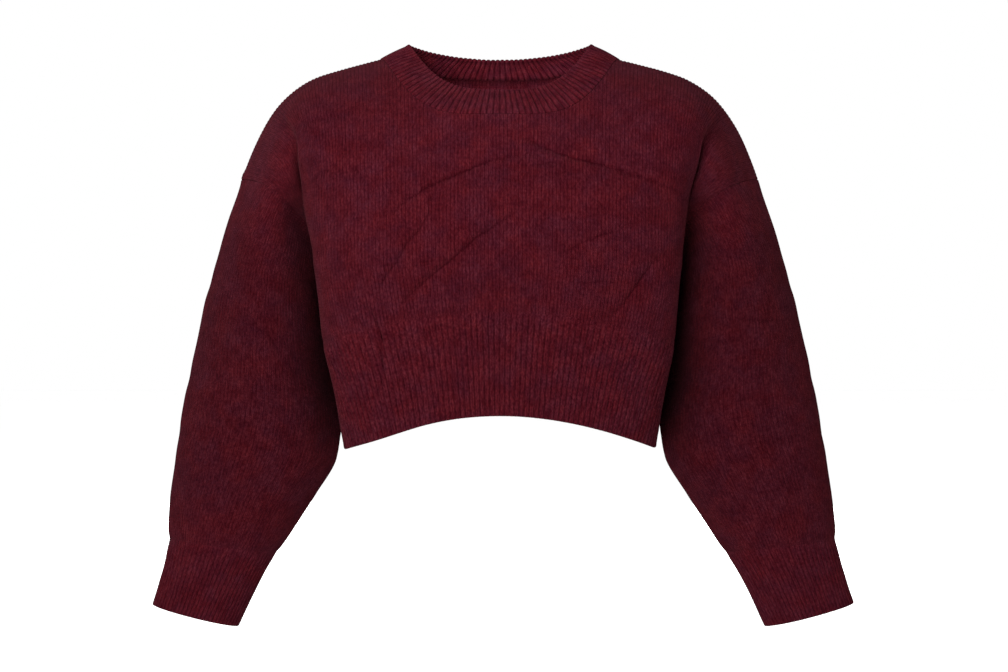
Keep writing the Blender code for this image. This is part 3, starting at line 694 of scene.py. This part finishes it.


def wall_of_cloth(
    name, grid, knit, relief, inside, radii, strides,
    thickness=KNIT_WALL, closed=False, paler=0.0, even=0.0,
):
    """A closed wall: the grid plus and minus half its thickness along its normals, with the relief
    of the knit on the outer surface and its reverse on the inner one. paler and even are for the
    outer surface: how much paler its colour is painted, which is painted light, or painted shadow
    where it is below 0, and how far its wales are stretched out even. The inner surface is painted
    paler away from its ends, as painted light where it lies in shade."""
    grid, painted_shade = worn(grid, grid_normals(grid, closed))
    normals = grid_normals(grid, closed)
    share = rounding(grid, radii)[..., None]
    rows, cols = grid.shape[:2]
    held_rows, held_cols = thinned(rows, strides[0]), thinned(cols, strides[1])
    held = np.ix_(held_rows, held_cols)
    outer = grid + normals * share * (thickness / 2 + relief[..., None])
    inner = (grid - normals * share * (thickness / 2 + inside[..., None]))[held]
    index = np.arange(rows * cols).reshape(rows, cols)
    inner_index = rows * cols + np.arange(inner[..., 0].size).reshape(inner.shape[:2])
    loops = [(index[k], inner_index[k], held_cols, k < 0) for k in (0, -1)]
    if not closed:
        loops += [(index[:, k], inner_index[:, k], held_rows, k == 0) for k in (0, -1)]
    faces = [quads(index), quads(inner_index)[:, ::-1], *(rim(*loop) for loop in loops)]
    points = np.concatenate([outer.reshape(-1, 3), inner.reshape(-1, 3)])
    from_end = np.minimum(down_from_top(grid), up_from_bottom(grid))
    # painted light on the hidden inner surface, away from its upper and lower edges
    hidden = growing(from_end[held], INSIDE_STARTS).ravel()
    shares = {}
    # painted shade of the creases on the outer surface, painted light on the inner one
    for label, here, there in (("crease", painted_shade, 0), ("paler", paler, hidden), ("even", even, 0)):
        here = np.broadcast_to(here, (rows, cols)).ravel()
        shares[label] = np.concatenate([here, np.broadcast_to(there, hidden.shape)])
    spots = np.concatenate([knit.reshape(-1, 2), knit[held].reshape(-1, 2)])
    places = [spots[block] for block in faces]
    if closed:
        same = np.arange(len(points))
        same[index[:, -1]], same[inner_index[:, -1]] = index[:, 0], inner_index[:, 0]
        used, number = np.unique(same, return_inverse=True)
        faces, points = [number[block] for block in faces], points[used]
        shares = {label: values[used] for label, values in shares.items()}
    joints = [index[k] for k, side in ((0, "top"), (-1, "bottom")) if side not in radii]
    sharp = [np.stack([line[:-1], line[1:]], axis=1) for line in joints]
    sharp = np.concatenate([*sharp, np.zeros((0, 2), int)])
    made = placed(name, new_mesh(name, points, faces, places, sharp, shares))
    print(name, sum(len(block) * (block.shape[1] - 2) for block in faces), "triangles")
    return made


# %% [markdown]
# ## Plain knit
# In plain knit every column of stitches, a wale, stands up in a soft round ridge. The mesh has
# those ridges, and each corner of it knows its wale and its row, so that the material can draw the
# stitches there.

# %% Lay out plain knit
WALE_RISE = 0.6 * MM
WALE_POINTS = 4  # columns of points to a wale
RIDGE_POWER = 0.8
ROW_STEP = 1.8  # between rows of points, in millimetres
INNER_ROWS = 4  # how many of them make one row of the inner surface
COURSE = 2.7 * MM  # the height of a row of stitches
JOINED = 5 * MM  # within which the wales flatten out where ribs take over from them
SEWN = 1.1 * MM  # how far from a seam the cloth starts to curve into it


def spaced(length, step, top=False, bottom=False):
    """Shares of a length, a step apart, with closer ones beside an end whose edge is rounded."""
    close = np.array(EDGE_STEPS) / length
    even = np.linspace(0, 1, round(length / step) + 1)
    even = even[(even > (close[-1] if top else 0)) & (even < 1 - (close[-1] if bottom else 0))]
    ends = [[0.0], close if top else [], even, 1 - close[::-1] if bottom else [], [1.0]]
    return np.concatenate(ends)


def counted(grid, wales):
    """The wale at each column, and the row of stitches at each point, from the lower edge up."""
    up = up_from_bottom(grid)
    return np.stack([np.broadcast_to(wales, up.shape), up / COURSE], axis=-1)


def ridges(wales, height, power):
    """A round ridge over each wale: the sine of its width to a power."""
    return height * np.abs(np.sin(pi * wales)) ** power


def plain_wall(name, grid, wales, flatter, **shares):
    """A wall of plain knit, sewn on at its top and sides. The ridges of its wales flatten out
    towards the lower edge, and by as much as flatter says."""
    knit = counted(grid, wales)
    joined = growing(up_from_bottom(grid), JOINED)
    relief = ridges(knit[..., 0], WALE_RISE, RIDGE_POWER) * joined * (1 - flatter)
    sewn = {"top": SEWN, "left": SEWN, "right": SEWN}
    strides = (INNER_ROWS, WALE_POINTS)
    return wall_of_cloth(name, grid, knit, relief, 0 * relief, sewn, strides, **shares)


# %% Knit the front and the back
BODY_WALES = 82  # in half of the front or back
YOKE_LENGTH, TRUNK_LENGTH = 150, 62  # along a wale, in millimetres
STRETCHED = 0.65  # how much flatter the wales are where the cloth is stretched over the arm
STRETCH_START, STRETCH_OVER = 0.7, 0.18  # shares of the half panel, from the centre line


def whole(grid, wales, back):
    """A whole grid and its wales from the half at +X, whose first column is the centre line. The
    back's runs the other way round, so that it faces outwards too."""
    grid = np.concatenate([grid[:, :0:-1] * (-1, 1, 1), grid], axis=1)
    wales = np.concatenate([-wales[:0:-1], wales])
    return (grid[:, ::-1], wales[::-1]) if back else (grid, wales)


def body_panel(name, back):
    """The front or the back, from the shoulders and the neckline to the ribbed hem."""
    half = np.linspace(0, 1, BODY_WALES * WALE_POINTS + 1)
    start = neck_turn(half, back)
    turn = start + (pi / 2 - start) * spaced(YOKE_LENGTH, ROW_STEP, top=True)[:, None]
    levels = CHEST_LEVEL + (RIB_LEVEL - CHEST_LEVEL) * spaced(TRUNK_LENGTH, ROW_STEP)[1:]
    lower = np.stack([half_section(level, back, half) for level in levels])
    grid, wales = whole(np.concatenate([yoke(half, turn, back), lower]), half * BODY_WALES, back)
    even = STRETCHED * growing(np.abs(wales) / BODY_WALES - STRETCH_START, STRETCH_OVER)
    return plain_wall(name, grid, wales, even, even=even)


front = body_panel("knit_front", back=False)
back = body_panel("knit_back", back=True)

# %% [markdown]
# A sleeve is a flat panel too, sewn into a tube along the underarm, where its rings have their
# inner points. Its colour is painted paler near the armhole, as painted light, and a little paler
# near the cuff, and darker beside the body's hem, as a painted shadow.

# %% Knit the sleeves
SLEEVE_WALES = 58  # in half of a sleeve
SLEEVE_LENGTH = 385
SLEEVE_STEP = 1.25 * ROW_STEP
SLEEVE_EVEN = 0.3  # how much flatter its wales are
PAINTED_LIGHT_TOP, PAINTED_LIGHT_TOP_REACH = 0.24, 85 * MM  # how much paler it is painted at its armhole, as painted light, and how far down
PALER_END, PALER_END_REACH = 0.08, 60 * MM  # and at its cuff, and how far up
PAINTED_SHADOW = 0.5  # how much darker it is painted beside the body's hem, as a painted shadow
PAINTED_SHADOW_LEVEL, PAINTED_SHADOW_LEVELS = 4.2, 1.5  # where it is darkest, and how far that spreads
PAINTED_SHADOW_TURN, PAINTED_SHADOW_TURNS = -0.84 * pi, 0.13 * pi  # the same round the sleeve


def mirrored(grid):
    """A grid turned into its mirror image across X, still running the same way round."""
    return grid[:, ::-1] * (-1, 1, 1)


def sleeve(name, right):
    """A sleeve from its armhole to its cuff."""
    turns = np.linspace(-pi, pi, 2 * SLEEVE_WALES * WALE_POINTS + 1)
    levels = CUFF_LEVEL * spaced(SLEEVE_LENGTH, SLEEVE_STEP, top=True)
    grid = sleeve_rings(levels, turns, right)
    # painted shadow where the sleeve's inner front lies behind the body's hem
    away = np.abs(turns - PAINTED_SHADOW_TURN)
    away = np.minimum(away, 2 * pi - away) / PAINTED_SHADOW_TURNS
    painted_shadow = np.exp(-(away**2) - ((levels[:, None] - PAINTED_SHADOW_LEVEL) / PAINTED_SHADOW_LEVELS) ** 2)
    grid, painted_shadow = (mirrored(grid), painted_shadow[:, ::-1]) if right else (grid, painted_shadow)
    # painted light near the armhole, paler near the cuff, less the painted shadow
    paler = PAINTED_LIGHT_TOP * (1 - growing(down_from_top(grid), PAINTED_LIGHT_TOP_REACH))
    paler += PALER_END * (1 - growing(up_from_bottom(grid), PALER_END_REACH))
    paler -= PAINTED_SHADOW * painted_shadow
    wales = turns / pi * SLEEVE_WALES
    return plain_wall(name, grid, wales, SLEEVE_EVEN, paler=paler)


left_sleeve = sleeve("knit_sleeve_left", right=False)
right_sleeve = sleeve("knit_sleeve_right", right=True)

# %% [markdown]
# ## Ribs
# A rib is a wale of knit beside a wale of purl, so it is a deep round ridge with a narrow groove,
# and the outer side's grooves are the inner side's ridges. There is no seam where the plain knit
# ends, so the ribs rise out of it within a few rows.

# %% Lay out ribs
RIB_RISE = 1.25 * MM
RIB_BASE = -0.4 * MM  # the grooves lie below the plain knit's surface
RIB_POINTS = 8  # columns of points to a rib
RIB_POWER = 0.85
RIB_START = 12 * MM  # within which the ribs reach their height
FREE = 1.5 * MM  # the rounding of a free edge


def ribbed_wall(name, grid, ribs):
    """A wall of ribs down to a free edge. They rise out of the plain knit above them, and the
    inner surface has them half a rib further on."""
    knit = counted(grid, ribs)
    rising = growing(down_from_top(grid), RIB_START)
    outside = RIB_BASE + ridges(knit[..., 0], RIB_RISE, RIB_POWER)
    inside = RIB_BASE + ridges(knit[..., 0] + 0.5, RIB_RISE, RIB_POWER)
    edges = {"bottom": FREE, "left": SEWN, "right": SEWN}
    return wall_of_cloth(name, grid, knit, outside * rising, inside * rising, edges, (2, 2))


# %% Knit the hem
HEM_RIBS = 88
HEM_LENGTH, HEM_STEP = 103, 3.0
SIDE_STRETCH = 0.12  # how much wider ribs are at the side seams, and narrower at the middle


def hem_rib(name, back):
    """The ribbed hem under the front or the back."""
    half = np.linspace(0, 1, HEM_RIBS * RIB_POINTS // 2 + 1)
    pulled = half * (1 - SIDE_STRETCH + SIDE_STRETCH * half)
    levels = RIB_LEVEL + (HEM_LEVEL - RIB_LEVEL) * spaced(HEM_LENGTH, HEM_STEP, bottom=True)
    grid = np.stack([half_section(level, back, pulled) for level in levels])
    return ribbed_wall(name, *whole(grid, half * HEM_RIBS / 2, back))


hem_front = hem_rib("ribbed_hem_front", back=False)
hem_back = hem_rib("ribbed_hem_back", back=True)

# %% Knit the cuffs
CUFF_RIBS = 60
CUFF_POINTS = 6  # columns of points to each of its ribs
CUFF_LENGTH, CUFF_STEP = 76, 2.6


def cuff(name, right):
    """A ribbed cuff, sewn into a tube along the same line as its sleeve."""
    shares = np.linspace(0, 1, CUFF_RIBS * CUFF_POINTS + 1)
    levels = CUFF_LEVEL + (WRIST_LEVEL - CUFF_LEVEL) * spaced(CUFF_LENGTH, CUFF_STEP, bottom=True)
    rings = sleeve_rings(levels, np.linspace(-pi, pi, DENSE), right)
    grid = np.stack([evenly(ring, shares) for ring in rings])
    return ribbed_wall(name, mirrored(grid) if right else grid, (shares - 0.5) * CUFF_RIBS)


left_cuff = cuff("ribbed_cuff_left", right=False)
right_cuff = cuff("ribbed_cuff_right", right=True)

# %% [markdown]
# The neckband is a strip of ribs, folded double over its upper edge and linked to the neckline on
# both sides. So it is thicker than the rest, round on top, and ribbed inside and out.

# %% Knit the neckband
NECKBAND_WALL = 3.4 * MM
BAND_TOP_X = 89.5 * MM
BAND_TOP_FRONT = (-75 * MM, -36 * MM)
BAND_TOP_BACK = (42 * MM, 3.2 * MM)
BAND_TOP_SIDE = (2 * MM, 14.2 * MM)
FRONT_DIP_POWER, BACK_DIP_POWER = 3.3, 2.2
BAND_BULGE = 0.8 * MM
NECK_RIBS = 108
BAND_HEIGHT, BAND_STEP = 27, 1.8
FOLDED = 1.9 * MM  # the rounding of the folded upper edge
SCALLOP, SCALLOP_REACH = 0.9 * MM, 5 * MM  # how far a rib stands up at the fold, and from where


def neckline():
    """The neckline all round: the first point of each wale that starts at the neck."""
    widest = (NECK_WIDTH + CORNER) / (NECK_X + SHOULDER_LENGTH)
    across = widest * np.sin(np.linspace(0, pi / 2, DENSE))
    ahead, behind = (yoke(across, neck_turn(across, back), back) for back in (0, 1))
    half = np.concatenate([ahead, behind[-2::-1]])
    return np.concatenate([half, half[-2::-1] * (-1, 1, 1)])


def band_edge(shares):
    """The neckband's upper edge: an ellipse seen from above, whose height is a power of a sine."""
    angle = np.linspace(0, 2 * pi, 2 * DENSE)
    facing_front = np.cos(angle) > 0
    middle_y, middle_z = np.where(facing_front[:, None], BAND_TOP_FRONT, BAND_TOP_BACK).T
    side_y, side_z = BAND_TOP_SIDE
    dip = 1 - np.abs(np.sin(angle)) ** np.where(facing_front, FRONT_DIP_POWER, BACK_DIP_POWER)
    y = side_y + (middle_y - side_y) * np.abs(np.cos(angle))
    z = side_z + (middle_z - side_z) * dip
    return evenly(np.stack([BAND_TOP_X * np.sin(angle), y, z], axis=1), shares)


def neckband(name):
    """Straight lines from the upper edge to the seam, plus half a sine wave outwards."""
    shares = np.linspace(0, 1, NECK_RIBS * RIB_POINTS + 1)
    low, high = evenly(neckline(), shares), band_edge(shares)
    around = np.gradient(low, axis=0)
    outwards = unit(np.cross(around, high - low))
    fall = spaced(BAND_HEIGHT, BAND_STEP, top=True, bottom=True)[:, None, None]
    grid = high + (low - high) * fall + outwards * BAND_BULGE * np.sin(pi * fall)
    knit = counted(grid, shares * NECK_RIBS)
    at_fold = 1 - growing(down_from_top(grid), SCALLOP_REACH)
    grid[..., 2] += ridges(knit[..., 0], SCALLOP, 1.0) * at_fold
    relief = RIB_BASE + ridges(knit[..., 0], RIB_RISE, RIB_POWER)
    edges = {"top": FOLDED, "bottom": SEWN}
    wall = {"thickness": NECKBAND_WALL, "closed": True}
    return wall_of_cloth(name, grid, knit, relief, relief, edges, (1, 1), **wall)


band = neckband("ribbed_neckband")

# %% [markdown]
# ## Wool
# Heathered wool is spun from fibres of a few close reds, so its colour wanders over the cloth and
# along each strand. Each stitch is a V of two legs. The material draws the legs from the wale and
# the row at each corner of the mesh. It streaks them as yarn is streaked, darkens the grooves
# between wales, where little light gets in, and roughens it all with fibres. A little sheen stands
# for the soft nap.

# %% Make the wool
WINE = (0.0256, 0.00255, 0.00465, 1.0)
BRICK = (0.0283, 0.00220, 0.00362, 1.0)
PLUM = (0.0223, 0.00293, 0.00585, 1.0)
SHADE_POWERS = (0.8, 1.35, 1.0)  # how fast red, green and blue rise with the shade, so paler places are less saturated, as a painted sheen
WALE_WIDTH, RIB_WIDTH = 3.55, 5.6  # in millimetres, for streaks of the same size on both knits
LEG_LEAN = 0.42  # how far a leg rises from the middle of its wale to its border, in rows
LEG_SINK = 0.6  # how far it sinks between two rows
STITCH_DEPTH, FIBRE_DEPTH = 0.4 * MM, 0.3 * MM
CLUMPED = 0.6  # the share of the fuzz that is in clumps
SHORT_STREAK = (0.6, 0.36, 0.0)  # to a millimetre across and along, and how far it is shifted
LONG_STREAK = (0.55, 0.10, 40.0)
NOISES = (  # patches, shades, clumps and fibres: how many to a metre, detail, roughness
    (34.0, 4.0, 0.6), (60.0, 3.0, 0.6), (260.0, 3.0, 0.6), (1300.0, 4.0, 0.7),
)
PATCH_BAND, SHADE_BAND, CLUMP_BAND = 0.12, 0.2, 0.3  # how far either side of 0.5 noise is spread
BORDER_POWER = 4.0  # how narrow the painted shade at the border of a wale is
SHADE_SHARE, FIBRE_SHARE, STITCH_SHARE = 0.36, 0.8, 0.35  # how strongly each changes the shade
PAINTED_LIGHT_INSIDE = 1.3  # how much paler the inner side is painted, as painted light where it lies in shade
CREASE_PAINTED_SHADE = 0.6  # how much painted shade darkens the cloth in the sharpest crease
NAP = {
    "Roughness": 0.95,
    "Specular IOR Level": 0.0,
    "Sheen Weight": 0.018,
    "Sheen Roughness": 0.6,
    "Sheen Tint": (0.9, 0.35, 0.42, 1.0),
}

# %% Wire up a material
class Wiring:
    """A material's nodes, added one at a time and linked as they are made."""

    def __init__(self, name):
        self.material = bpy.data.materials.new(name)
        self.material.use_nodes = True
        self.nodes = self.material.node_tree.nodes
        self.links = self.material.node_tree.links

    def add(self, kind, inputs=(), output=0, **settings):
        """One output of a new node, whose inputs are numbers or other nodes' outputs."""
        node = self.nodes.new("ShaderNode" + kind)
        for name, value in settings.items():
            setattr(node, name, value)
        for socket, value in dict(inputs).items():
            if isinstance(value, bpy.types.NodeSocket):
                self.links.new(value, node.inputs[socket])
            else:
                node.inputs[socket].default_value = value
        return node.outputs[output]

    def maths(self, operation, *values):
        """A Math node."""
        return self.add("Math", enumerate(values), operation=operation)

    def mix(self, share, first, second):
        """A mix of two colours."""
        inputs = {"Factor": share, 6: first, 7: second}
        return self.add("Mix", inputs, output=2, data_type="RGBA")

    def noise(self, place, scale, detail, roughness=0.5):
        """A Noise Texture's value."""
        inputs = {"Vector": place, "Scale": scale, "Detail": detail, "Roughness": roughness}
        return self.add("TexNoise", inputs)

    def spread(self, value, band):
        """How far a value is across a band round 0.5, as a smooth share from 0 to 1."""
        inputs = {"Value": value, "From Min": 0.5 - band, "From Max": 0.5 + band}
        return self.add("MapRange", inputs, interpolation_type="SMOOTHSTEP")


def wool(name, width, groove_shade, streaking, grain, depth):
    """Heathered wool, knitted: the width of a wale or rib, how much painted shade darkens its
    borders, how strong its short and its long streaks are, how strong its fibres and stitches are,
    and depth, a factor on all its colour, which is painted shade on the sleeves and painted light
    on the neckband."""
    w = Wiring(name)
    place = w.add("TexCoord", output=3)
    knit = w.add("UVMap", uv_map="knit")
    wale, row, _ = w.add("SeparateXYZ", {0: knit}).node.outputs
    aside = w.maths("ABSOLUTE", w.maths("SUBTRACT", w.maths("FRACT", wale), 0.5))
    aside = w.maths("MULTIPLY", aside, 2)
    leg = w.maths("SUBTRACT", row, w.maths("MULTIPLY", aside, LEG_LEAN))
    beat = w.maths("COSINE", w.maths("MULTIPLY", leg, 2 * pi))
    beat = w.maths("MULTIPLY_ADD", beat, 0.5, 0.5)
    across = w.maths("SINE", w.maths("MULTIPLY", aside, pi))
    stitch = w.maths("MULTIPLY", across, w.maths("MULTIPLY_ADD", beat, LEG_SINK, 1 - LEG_SINK))

    streaks = []
    for per_wale, per_row, shift in (SHORT_STREAK, LONG_STREAK):
        inputs = {0: knit, 1: (width * per_wale, COURSE / MM * per_row, 1.0), 2: (shift,) * 3}
        laid = w.add("VectorMath", inputs, operation="MULTIPLY_ADD")
        streaks.append(w.spread(w.noise(laid, 1.0, 1.0), SHADE_BAND))
    patches, shades, clumps, fibres = (w.noise(place, *values) for values in NOISES)

    heather = w.mix(w.spread(patches, PATCH_BAND), BRICK, PLUM)
    heather = w.mix(w.spread(clumps, CLUMP_BAND), heather, WINE)
    paler, crease, even = (
        w.add("Attribute", output=2, attribute_name=label) for label in ("paler", "crease", "even")
    )
    # painted light and shade: depth, and paler with the inside's painted light and a sleeve's
    # painted shadow
    light = w.maths("MULTIPLY_ADD", paler, PAINTED_LIGHT_INSIDE * depth, depth)
    # painted shade at the borders of the wales, less where they are stretched even
    border = w.maths("POWER", aside, BORDER_POWER)
    border = w.maths("MULTIPLY", border, w.maths("SUBTRACT", 1.0, even))
    uneven = [*zip(streaks, streaking), (w.spread(shades, SHADE_BAND), SHADE_SHARE)]
    uneven += [(fibres, FIBRE_SHARE * grain), (stitch, STITCH_SHARE * grain)]
    shade, *others = (w.maths("MULTIPLY_ADD", one, much, 1 - much / 2) for one, much in uneven)
    # painted shade in the wales' borders and along the creases' lines
    for value, much in ((border, groove_shade), (crease, CREASE_PAINTED_SHADE)):
        others.append(w.maths("MULTIPLY_ADD", value, -much, 1.0))
    for other in others:
        shade = w.maths("MULTIPLY", shade, other)
    # painted sheen: the paler the shade, the less saturated the red
    tone_and_painted_light = w.add("CombineXYZ", enumerate(w.maths("POWER", shade, power) for power in SHADE_POWERS))
    tone_and_painted_light = w.add("VectorMath", {0: tone_and_painted_light, "Scale": light}, operation="SCALE")
    colour = w.add("VectorMath", {0: heather, 1: tone_and_painted_light}, operation="MULTIPLY")

    fuzz = w.maths("MULTIPLY_ADD", clumps, CLUMPED, w.maths("MULTIPLY", fibres, 1 - CLUMPED))
    rough = w.add("Bump", {"Height": fuzz, "Distance": FIBRE_DEPTH, "Strength": 1.0})
    inputs = {"Height": stitch, "Distance": STITCH_DEPTH, "Strength": 1.0, "Normal": rough}

    shader = w.nodes["Principled BSDF"]
    w.links.new(colour, shader.inputs["Base Color"])
    w.links.new(w.add("Bump", inputs), shader.inputs["Normal"])
    for socket, value in NAP.items():
        shader.inputs[socket].default_value = value
    return w.material


WOOLS = {  # width, groove shade, streaking, grain, and depth, a factor on all the colour
    "body": (WALE_WIDTH, 0.5, (0.5, 0.42), 0.5, 1.0),
    # painted shade: the sleeves' wool is darker, as if less lit
    "sleeve": (WALE_WIDTH, 0.26, (0.5, 0.5), 0.6, 0.76),
    "ribbed": (RIB_WIDTH, 0.4, (0.65, 0.5), 0.5, 1.0),
    "cuff": (RIB_WIDTH, 0.36, (0.55, 0.45), 0.5, 0.92),
    # painted light: the neckband's wool is paler, as if more lit
    "neck": (RIB_WIDTH, 0.75, (0.35, 0.6), 0.35, 1.08),
}
wools = {kind: wool(kind + "_knit_wool", *look) for kind, look in WOOLS.items()}
print(len(wools), "wools")

# %% [markdown]
# ## What each piece is
# Every piece stands for one solid: it gets its wool and hangs from the root, and the solid is
# hidden. Each is a sheet of cloth, and the table lists how large it was when it came off the
# needles.

# %% Give the pieces their wool and hide the solids
PANEL_CUT, SLEEVE_CUT, CUFF_CUT = (0.555, 0.340), (0.440, 0.400), (0.260, 0.076)
PANEL_AREA, SLEEVE_AREA = 0.145, 0.150  # because these two aren't rectangles
PIECES = (
    (front, "front", "body", PANEL_CUT, PANEL_AREA, "hung", ["back", "neckband"]),
    (back, "back", "body", PANEL_CUT, PANEL_AREA, "hung", ["front", "neckband"]),
    (left_sleeve, "sleeve_left", "sleeve", SLEEVE_CUT, SLEEVE_AREA, "hung", ["front", "back"]),
    (right_sleeve, "sleeve_right", "sleeve", SLEEVE_CUT, SLEEVE_AREA, "hung", ["front", "back"]),
    (hem_front, "hem_rib_front", "ribbed", (0.470, 0.103), None, "hung", ["front"]),
    (hem_back, "hem_rib_back", "ribbed", (0.440, 0.103), None, "hung", ["back"]),
    (left_cuff, "cuff_left", "cuff", CUFF_CUT, None, "gathered", ["sleeve_left"]),
    (right_cuff, "cuff_right", "cuff", CUFF_CUT, None, "gathered", ["sleeve_right"]),
    (band, "neckband", "neck", (0.600, 0.054), None, "folded", ["front", "back"]),
)
for piece, node, kind, cut, area, held, rests in PIECES:
    piece.data.materials.append(wools[kind])
    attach(piece, "root")
    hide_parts(node)
print(len(PIECES), "pieces of cloth")
